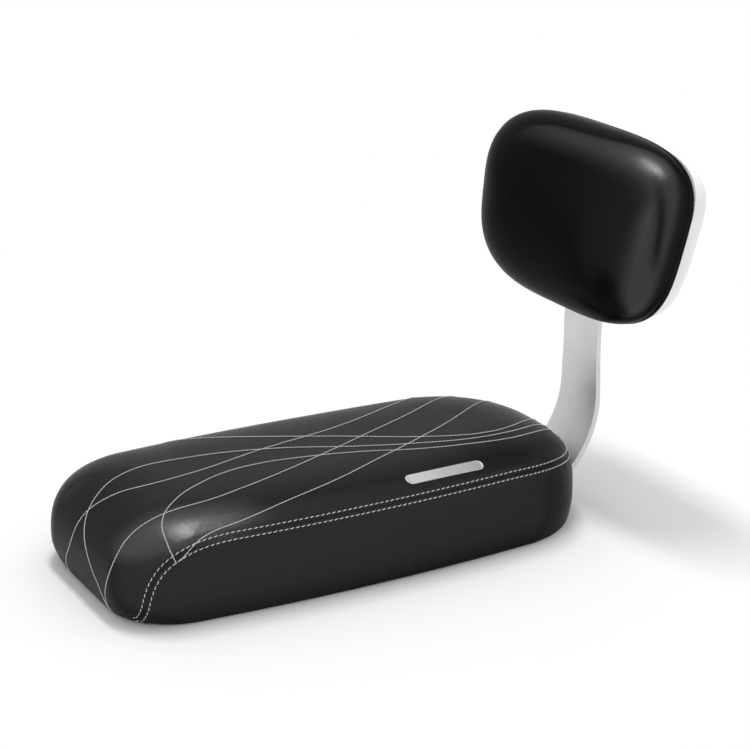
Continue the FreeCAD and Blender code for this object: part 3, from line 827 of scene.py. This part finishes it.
def backrest_profile():
    """Insets and depths from the hem behind the pad, round its edge and over to its crown."""
    turn = np.linspace(0.0, BACKREST_CROWN_TURN, PROFILE_SAMPLES)
    rise = BACKREST_DEPTH - BACKREST_ROUND_START
    depth = BACKREST_ROUND_START + rise * np.sin(turn) ** (2 / BACKREST_ROUND_POWER)
    inset = BACKREST_HEIGHT / 2 * (1 - np.cos(turn) ** (2 / BACKREST_ROUND_POWER))
    wall = np.linspace(0.0, BACKREST_ROUND_START, WALL_SAMPLES)[:-1]
    depth = np.concatenate((wall, depth))
    inset = np.concatenate((0 * wall, inset))
    inset += BACKREST_REAR_TUCK * np.clip(1 - depth / BACKREST_BELLY, 0.0, 1.0) ** 2
    length = running_length(np.stack((depth, inset), axis=1))
    near = np.linspace(0.0, BACKREST_REAR_BAND, BACKREST_REAR_ROWS + 1)[:-1]
    far = np.linspace(0.0, 1.0, BACKREST_ROWS) ** BACKREST_ROW_SPREAD
    place = np.concatenate((near, BACKREST_REAR_BAND + (length[-1] - BACKREST_REAR_BAND) * far))
    return np.interp(place, length, inset), np.interp(place, length, depth)


def side_fold(points):
    """One along the middle of the soft fold on each side of the pad, and zero away from it."""
    across, up, depth = points.T
    fold = bell(depth, SIDE_FOLD_AT + SIDE_FOLD_LEAN * up, SIDE_FOLD_HALF)
    fold *= np.exp(-((up - SIDE_FOLD_UP) / SIDE_FOLD_REACH) ** 4)
    return fold * (np.abs(across) > BACKREST_WIDTH / 4)


def backrest_relief(points):
    """Welt at the pad's rear edge, the crease beside it, and a soft fold along each side."""
    depth = points[:, 2]
    welt = WELT_HEIGHT * bell(depth, WELT_AT, WELT_HALF)
    crease = WELT_CREASE_DEPTH * bell(depth, WELT_CREASE_AT, WELT_CREASE_HALF)
    return welt - crease - SIDE_FOLD_DEPTH * side_fold(points)


def backrest_leather_cover(leather):
    """Leather over the backrest's pad."""
    turn = even_turns(BACKREST_COLUMNS)
    inset, depth = backrest_profile()
    hem = BACKREST_REAR_TUCK + BACKREST_HEM * np.array(BACKREST_HEM_STEPS)
    inset = np.concatenate((hem, inset))
    depth = np.concatenate((0 * hem, depth))
    crown = (np.arange(BACKREST_CROWN_ROWS) + 1) / BACKREST_CROWN_ROWS
    tall = np.concatenate((np.ones(len(inset)), 1 - crown))
    inset = np.concatenate((inset, np.full(BACKREST_CROWN_ROWS, inset[-1])))
    depth = np.concatenate((depth, np.full(BACKREST_CROWN_ROWS, depth[-1])))
    across, up = backrest_outline(turn[None, :], inset[:, None], tall[:, None])
    grid = np.stack((across, up, depth[:, None] + 0 * across), axis=-1)
    normals = grid_normals(grid)
    normals[-1] = (0.0, 0.0, 1.0)
    base, normal = grid.reshape(-1, 3), normals.reshape(-1, 3)
    faces = merged_faces(base, [corners for i, j, corners in grid_quads(*grid.shape[:2])])
    pinned = base[:, 2] < WELT_CREASE_AT
    move = blown_up("backrest", base, normal, faces, pinned, BACKREST_MOVE_LIMIT)
    relief = backrest_relief(base) + soft_unevenness(base, BACKREST_SWELL)
    relief[np.arange(len(base)) < len(hem) * BACKREST_COLUMNS] = 0.0
    outer = backrest_to_seat(base + move + normal * relief[:, None])
    inner = backrest_to_seat(base - normal * INNER_FACE_DEPTH)
    stretch = 1.0 - smooth_step(normal[:, 2], *FACE_TURN)
    stretch *= smooth_step(normal[:, 2], *WALL_TURN)
    stretch *= 1.0 - side_fold(base)
    return leather_skin("backrest_leather", outer, inner, faces, stretch, leather)


# Threads

def stitch_shape(lean):
    """One stitch along X, one unit long and wide, that dips at both ends; lean turns it off the line."""
    rings, sides = STITCH_RINGS, STITCH_SIDES
    points, twist = [], []
    for i in range(rings + 1):
        along = i / rings - 0.5
        thick = 0.5 * (1.0 - STITCH_TAPER * (2 * along) ** 4)
        lift = STITCH_LIFT - STITCH_DIP * (2 * along) ** 4
        for k in range(sides):
            turn = 2 * math.pi * k / sides
            points.append((along, lean * along + thick * math.cos(turn), lift + thick * math.sin(turn)))
            twist.append(STITCH_TWISTS * along + k / sides)
    faces = [corners[::-1] for i, k, corners in grid_quads(rings + 1, sides)]
    faces.append(tuple(range(sides)))
    faces.append(tuple(reversed(range(rings * sides, (rings + 1) * sides))))
    piece = new_mesh_object("stitch_shape", points, faces)
    attribute = piece.data.attributes.new("twist", "FLOAT", "POINT")
    attribute.data.foreach_set("value", twist)
    return piece


def stitching_tree(thread):
    """Geometry tree that lays stitches along a line on a cover."""
    tree = bpy.data.node_groups.new("stitching", "GeometryNodeTree")
    sockets = (("Line", "Geometry"), ("Cover", "Object"), ("Stitch", "Object"), ("Pitch", "Float"),
               ("Stitch Length", "Float"), ("Stitch Width", "Float"))
    for name, kind in sockets:
        tree.interface.new_socket(name, in_out="INPUT", socket_type="NodeSocket" + kind)
    tree.interface.new_socket("Stitches", in_out="OUTPUT", socket_type="NodeSocketGeometry")
    given, result = tree.nodes.new("NodeGroupInput"), tree.nodes.new("NodeGroupOutput")
    curve = add_node(tree, "GeometryNodeMeshToCurve", {"Mesh": given.outputs["Line"]})
    even = add_node(tree, "GeometryNodeResampleCurve",
                    {"Curve": curve.outputs[0], "Length": given.outputs["Pitch"]}, mode="LENGTH")
    cover = add_node(tree, "GeometryNodeObjectInfo", {"Object": given.outputs["Cover"]})
    normal = add_node(tree, "GeometryNodeInputNormal")
    upright = add_node(tree, "GeometryNodeSampleNearestSurface",
                       {"Mesh": cover.outputs["Geometry"], "Value": normal.outputs[0]},
                       data_type="FLOAT_VECTOR")
    tangent = add_node(tree, "GeometryNodeInputTangent")
    along = add_node(tree, "FunctionNodeAlignRotationToVector", {"Vector": tangent.outputs[0]}, axis="X")
    turned = add_node(tree, "FunctionNodeAlignRotationToVector",
                      {"Rotation": along.outputs[0], "Vector": upright.outputs["Value"]},
                      axis="Z", pivot_axis="X")
    size = add_node(tree, "ShaderNodeCombineXYZ",
                    {"X": given.outputs["Stitch Length"], "Y": given.outputs["Stitch Width"],
                     "Z": given.outputs["Stitch Width"]})
    stitch = add_node(tree, "GeometryNodeObjectInfo", {"Object": given.outputs["Stitch"]})
    laid = add_node(tree, "GeometryNodeInstanceOnPoints",
                    {"Points": even.outputs[0], "Instance": stitch.outputs["Geometry"],
                     "Rotation": turned.outputs[0], "Scale": size.outputs[0]})
    real = add_node(tree, "GeometryNodeRealizeInstances", {0: laid.outputs[0]})
    coloured = add_node(tree, "GeometryNodeSetMaterial", {"Geometry": real.outputs[0], "Material": thread})
    tree.links.new(coloured.outputs[0], result.inputs[0])
    return tree


def polyline_object(name, lines):
    """Edges only, for a tree to follow."""
    points, edges = [], []
    for line in lines:
        first = len(points)
        points += [tuple(p * MM) for p in line]
        edges += [(first + i, first + i + 1) for i in range(len(line) - 1)]
    mesh = bpy.data.meshes.new(name)
    mesh.from_pydata(points, edges, [])
    return linked_object(name, mesh)


def stitched(name, lines, tree, cover, stitch, pitch, length, width):
    """Stitches along the lines, as one plain mesh."""
    source = polyline_object(name + "_line", lines)
    modifier = source.modifiers.new("stitching", "NODES")
    modifier.node_group = tree
    values = {"Cover": cover, "Stitch": stitch, "Pitch": pitch * MM, "Stitch Length": length * MM,
              "Stitch Width": width * MM}
    for item in tree.interface.items_tree:
        if item.in_out == "INPUT" and item.name in values:
            modifier[item.identifier] = values[item.name]
    mesh = evaluated_mesh(source)
    mesh.name = name
    return linked_object(name, mesh)


def smooth_line(points):
    """Smooth curve through a few points, as many close points."""
    data = bpy.data.curves.new("line", "CURVE")
    data.dimensions = "3D"
    data.resolution_u = DECOR_CURVE_STEPS
    spline = data.splines.new("BEZIER")
    spline.bezier_points.add(len(points) - 1)
    for knot, point in zip(spline.bezier_points, points):
        knot.co = point
        knot.handle_left_type = "AUTO"
        knot.handle_right_type = "AUTO"
    mesh = evaluated_mesh(linked_object("line", data))
    line = np.array([tuple(v.co) for v in mesh.vertices])
    bpy.data.meshes.remove(mesh)
    return line


def laid_on(surface, line):
    """Line moved to the nearest points of a cover."""
    return np.array([tuple(surface.find_nearest(Vector(p))[0]) for p in line])


def seam_thread_lines(surface, seam, normals):
    """Two stitch rows, one on each side of the seam."""
    tangent = np.gradient(seam, axis=0)
    sideways = np.cross(normals, tangent)
    sideways /= np.linalg.norm(sideways, axis=1, keepdims=True)
    return [laid_on(surface, seam + side * STITCH_ROW_OFFSET * sideways) for side in (-1, 1)]


# Sweeping threads over the top, by a few points each: forward, left, up
DECOR_LINES = (
    ((96, -76, 53), (52, -47, 64), (-9, -13, 66), (-84, 26, 66), (-107, 30, 65), (-124, 27, 65),
     (-138, 20, 63), (-150, 12, 60), (-168, -4, 50)),
    ((169, 39, -1), (174, 34, 13), (175, 21, 23), (171, 1, 40), (159, -12, 54), (134, -22, 63),
     (89, -23, 66), (35, -11, 66), (-16, 12, 66), (-51, 25, 66), (-92, 35, 65), (-117, 35, 64),
     (-132, 31, 63), (-148, 23, 60), (-168, 9, 50)),
    ((143, 77, 43), (145, 72, 51), (141, 54, 60), (122, 34, 65), (103, 22, 66), (79, 12, 66), (52, 9, 66),
     (27, 12, 66), (-11, 21, 66), (-47, 34, 65), (-79, 41, 65), (-112, 44, 64), (-127, 41, 63),
     (-143, 34, 60), (-155, 26, 57), (-168, 14, 50)),
    ((170, -31, -1), (174, -26, 10), (175, -15, 27), (164, -8, 50), (146, -1, 60), (127, 5, 64),
     (101, 3, 66), (41, -13, 66), (-24, -28, 66), (-60, -42, 65), (-96, -60, 62), (-119, -75, 51)),
    ((169, 39, -1), (175, 41, 13), (172, 49, 37), (157, 48, 55), (133, 47, 62), (108, 46, 64), (79, 39, 65),
     (48, 29, 66), (4, 11, 66), (-33, -6, 66), (-73, -24, 66), (-123, -51, 63), (-152, -64, 51)),
    ((139, 77, 44), (124, 75, 54), (88, 70, 59), (60, 64, 62), (20, 53, 64), (-16, 38, 65), (-55, 20, 66),
     (-97, -2, 66), (-137, -28, 64), (-166, -47, 51)),
)


# Hard pieces

def badge_plate(surface, silver):
    """Bare pill-shaped plate with a rounded edge, laid on the top panel's shoulder."""
    half_round = BADGE_WIDTH / 2
    half_line = BADGE_LENGTH / 2 - half_round
    wall_top = BADGE_HEIGHT - BADGE_EDGE
    levels = [(0.0, -BADGE_ROOT), (0.0, wall_top)]
    for turn in (30.0, 60.0, 90.0):
        angle = math.radians(turn)
        levels.append((BADGE_EDGE * (1 - math.cos(angle)), wall_top + BADGE_EDGE * math.sin(angle)))
    levels.append((BADGE_RIM, BADGE_HEIGHT))
    for inset in (BADGE_FACE, half_round / 2, half_round - 0.01):
        levels.append((inset, BADGE_HEIGHT - BADGE_SINK))
    outline = []
    for side in (1, -1):
        for k in range(BADGE_ARC_STEPS):
            turn = -math.pi / 2 + math.pi * k / BADGE_ARC_STEPS
            outline.append((side * half_line, side * math.cos(turn), side * math.sin(turn)))
        for k in range(BADGE_LINE_STEPS):
            outline.append((side * half_line * (1 - 2 * k / BADGE_LINE_STEPS), 0.0, side * 1.0))
    cos, sin = math.cos(BADGE_TURN), math.sin(BADGE_TURN)
    points = []
    for inset, height in levels:
        radius = half_round - inset
        for centre, out_x, out_y in outline:
            along, across = centre + radius * out_x, radius * out_y
            x = BADGE_CENTRE[0] + along * cos - across * sin
            y = BADGE_CENTRE[1] + along * sin + across * cos
            hit = surface.ray_cast(Vector((x, y, 2 * SEAT_HEIGHT)), Vector((0.0, 0.0, -1.0)))
            points.append(hit[0] + hit[1] * height)
    count = len(outline)
    faces = [corners for i, j, corners in grid_quads(len(levels), count)]
    faces.append(tuple(range((len(levels) - 1) * count, len(levels) * count)))
    faces.append(tuple(reversed(range(count))))
    piece = new_mesh_object("badge_plate", np.array([tuple(p) for p in points]) * MM, faces)
    piece.data.materials.append(silver)
    return piece


def smooth_copy(node, name, material, bevel=0.0):
    """Copy of a solid's mesh with its triangles joined, rounded shading and softened edges."""
    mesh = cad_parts[node].data.copy()
    mesh.name = name
    work = bmesh.new()
    work.from_mesh(mesh)
    bmesh.ops.remove_doubles(work, verts=work.verts, dist=1e-6)
    bmesh.ops.dissolve_limit(work, angle_limit=FLAT_JOIN_ANGLE, verts=work.verts, edges=work.edges)
    if bevel:
        sharp = [edge for edge in work.edges if edge.is_manifold and edge.calc_face_angle() > SHARP_ANGLE]
        bmesh.ops.bevel(work, geom=sharp, offset=bevel * MM, segments=2, affect="EDGES", profile=0.5,
                        clamp_overlap=True)
    work.to_mesh(mesh)
    work.free()
    mesh.materials.clear()
    mesh.materials.append(material)
    mesh.shade_smooth()
    mesh.set_sharp_from_angle(angle=SHADED_ANGLE)
    piece = linked_object(name, mesh)
    shading = piece.modifiers.new("shading", "WEIGHTED_NORMAL")
    shading.keep_sharp = True
    return piece


# Stage

def seen_directly(tree):
    """One for rays that show the background: the camera's, and those mirrored or refracted."""
    path = add_node(tree, "ShaderNodeLightPath")
    seen = math_node(tree, "MAXIMUM", path.outputs["Is Camera Ray"], path.outputs["Is Glossy Ray"])
    return math_node(tree, "MAXIMUM", seen, path.outputs["Is Transmission Ray"])


def studio_world():
    """White studio: even soft light, and plain white where the background shows or is mirrored."""
    world = bpy.data.worlds.new("studio")
    bpy.context.scene.world = world
    world.use_nodes = True
    tree = world.node_tree
    tree.nodes.clear()
    light = add_node(tree, "ShaderNodeBackground", {"Color": (1.0, 1.0, 1.0, 1.0), "Strength": WORLD_LIGHT})
    white = add_node(tree, "ShaderNodeBackground", {"Color": (1.0, 1.0, 1.0, 1.0), "Strength": 1.0})
    seen = seen_directly(tree)
    mix = add_node(tree, "ShaderNodeMixShader", {0: seen, 1: light.outputs[0], 2: white.outputs[0]})
    add_node(tree, "ShaderNodeOutputWorld", {"Surface": mix.outputs[0]})


def pale_floor():
    """Wide pale floor under the cushion's hem."""
    half = FLOOR_HALF
    corners = [(x * half, y * half, -LEATHER * MM) for x, y in ((-1, -1), (1, -1), (1, 1), (-1, 1))]
    floor = new_mesh_object("floor", corners, [(0, 1, 2, 3)], smooth=False)
    material, tree, shader = new_material("pale_floor", Roughness=0.9, Specular_IOR_Level=0.0)
    place = object_place(tree)
    cloud = noise(tree, place, 3.0, 2.0)
    link_colour(tree, shader, cloud.outputs["Fac"], (0.96, 0.96, 0.96), (0.98, 0.98, 0.98))
    away = add_node(tree, "ShaderNodeVectorMath", {0: place}, operation="LENGTH").outputs["Value"]
    fade = map_range(tree, away, *WHITE_FLOOR, 0.0, 1.0, interpolation_type="SMOOTHSTEP")
    white = add_node(tree, "ShaderNodeEmission", {"Strength": 1.0})
    share = math_node(tree, "MULTIPLY", fade, seen_directly(tree))
    mix = add_node(tree, "ShaderNodeMixShader", {0: share, 1: shader.outputs[0], 2: white.outputs[0]})
    tree.links.new(mix.outputs[0], tree.nodes["Material Output"].inputs["Surface"])
    floor.data.materials.append(material)


def soft_light(name, place, target, width, height, power):
    data = bpy.data.lights.new(name, "AREA")
    data.shape = "RECTANGLE"
    data.size = width
    data.size_y = height
    data.energy = power
    lamp = linked_object(name, data)
    lamp.location = place
    lamp.rotation_euler = (Vector(target) - Vector(place)).to_track_quat("-Z", "Y").to_euler()


def photo_camera():
    data = bpy.data.cameras.new("camera")
    data.lens = CAMERA_LENS
    data.sensor_width = CAMERA_SENSOR
    camera = linked_object("camera", data)
    level = math.cos(CAMERA_ELEVATION)
    back = Vector((math.sin(CAMERA_AZIMUTH) * level, -math.cos(CAMERA_AZIMUTH) * level,
                   math.sin(CAMERA_ELEVATION)))
    camera.location = Vector(CAMERA_EYE) * MM
    camera.rotation_euler = (-back).to_track_quat("-Z", "Y").to_euler()
    bpy.context.scene.camera = camera


# Finishes
SEAT_LEATHER = leather_material(
    "seat_leather", colour=(0.017, 0.017, 0.018), crease_colour=(0.010, 0.010, 0.011),
    roughness=0.27, grain_depth=0.00003, sheen=0.17, flat_sheen=0.022, stretched_sheen=0.60)
# The backrest's cover is the same black leather as the seat's. This copy's colour and crease colour are
# made much darker as painted shade.
SHADED_BACKREST_LEATHER = leather_material(
    "backrest_leather", colour=(0.004, 0.004, 0.0045), crease_colour=(0.002, 0.002, 0.0025),
    roughness=0.29, grain_depth=0.000018, sheen=0.11, flat_sheen=0.010, stretched_sheen=0.50)
SATIN_METAL = speckled_material(
    "satin_metal", (0.67, 0.67, 0.68), (0.61, 0.61, 0.62),
    roughness=0.40, spread=0.05, bump_depth=0.00001, Metallic=1.0)
BADGE_SILVER = speckled_material(
    "badge_silver", (0.56, 0.56, 0.57), (0.52, 0.52, 0.53),
    roughness=0.38, spread=0.05, bump_depth=0.00002, Metallic=0.85)
WHITE_PLASTIC = speckled_material(
    "white_plastic", (0.93, 0.93, 0.93), (0.90, 0.90, 0.90),
    roughness=0.26, spread=0.04, bump_depth=0.00002, scale=700.0, Coat_Weight=0.15)
ZINC_STEEL = speckled_material(
    "zinc_steel", (0.58, 0.58, 0.56), (0.46, 0.47, 0.47),
    roughness=0.36, spread=0.08, bump_depth=0.00003, Metallic=1.0)
PLYWOOD = plywood_material()
FOAM = foam_material()
WHITE_THREAD = thread_material()


def ride_as(piece, slot, *nodes):
    """The piece moves with the seat and stands for these nodes, which are hidden; the slot is not used."""
    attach(piece, "root")
    if nodes:
        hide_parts(*nodes)
    return piece


def dress_cushion():
    (top, side), surface, seam, seam_normals = seat_panels(SEAT_LEATHER)
    ride_as(top, "black_leather", "seat_top_panel")
    ride_as(side, "black_leather", "seat_side_panel")
    tree = stitching_tree(WHITE_THREAD)
    rows = seam_thread_lines(surface, seam, seam_normals)
    sweeps = [laid_on(surface, smooth_line(points)) for points in DECOR_LINES]
    threads = (("seam_stitches", rows, STITCH_LEAN, (STITCH_PITCH, STITCH_LENGTH, STITCH_WIDTH)),
               ("sweeping_threads", sweeps, 0.0, (DECOR_PITCH, DECOR_LENGTH, DECOR_WIDTH)))
    for name, lines, lean, sizes in threads:
        stitch = stitch_shape(lean)
        ride_as(stitched(name, lines, tree, top, stitch, *sizes), "white_thread")
        bpy.data.objects.remove(stitch)
    ride_as(badge_plate(surface, BADGE_SILVER), "badge_silver", "seat_badge")


def dress_backrest():
    cover = backrest_leather_cover(SHADED_BACKREST_LEATHER)
    ride_as(cover, "black_leather", "backrest_cover")
    shell = smooth_copy("backrest_shell", "white_shell", WHITE_PLASTIC)
    ride_as(shell, "white_plastic", "backrest_shell")
    bar = smooth_copy("backrest_bar", "bent_bar", SATIN_METAL, bevel=0.6)
    ride_as(bar, "satin_metal", "backrest_bar")


def dress_fasteners():
    for node in ("bar_screws", "backrest_bolts", "backrest_washers", "shell_screws", "rack_tee_nuts",
                 "bar_tee_nuts", "backrest_tee_nuts"):
        ride_as(smooth_copy(node, node + "_smooth", ZINC_STEEL, bevel=0.2), "zinc_steel", node)


def dress_inside():
    finishes = {"seat_foam": FOAM, "backrest_foam": FOAM, "seat_board": PLYWOOD, "backrest_board": PLYWOOD,
                "seat_staples": ZINC_STEEL, "backrest_staples": ZINC_STEEL}
    for node, material in finishes.items():
        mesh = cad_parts[node].data
        mesh.materials.clear()
        mesh.materials.append(material)


dress_cushion()
dress_backrest()
dress_fasteners()
dress_inside()

studio_world()
pale_floor()
soft_light("overhead", place=(-0.05, -0.24, 1.60), target=(-0.05, 0.0, 0.1),
           width=0.22, height=0.72, power=9.5)
soft_light("front_fill", place=(1.5, 1.0, 0.35), target=(0.0, 0.0, 0.1),
           width=0.5, height=0.8, power=1.2)
photo_camera()
bpy.context.scene.view_settings.view_transform = "Standard"
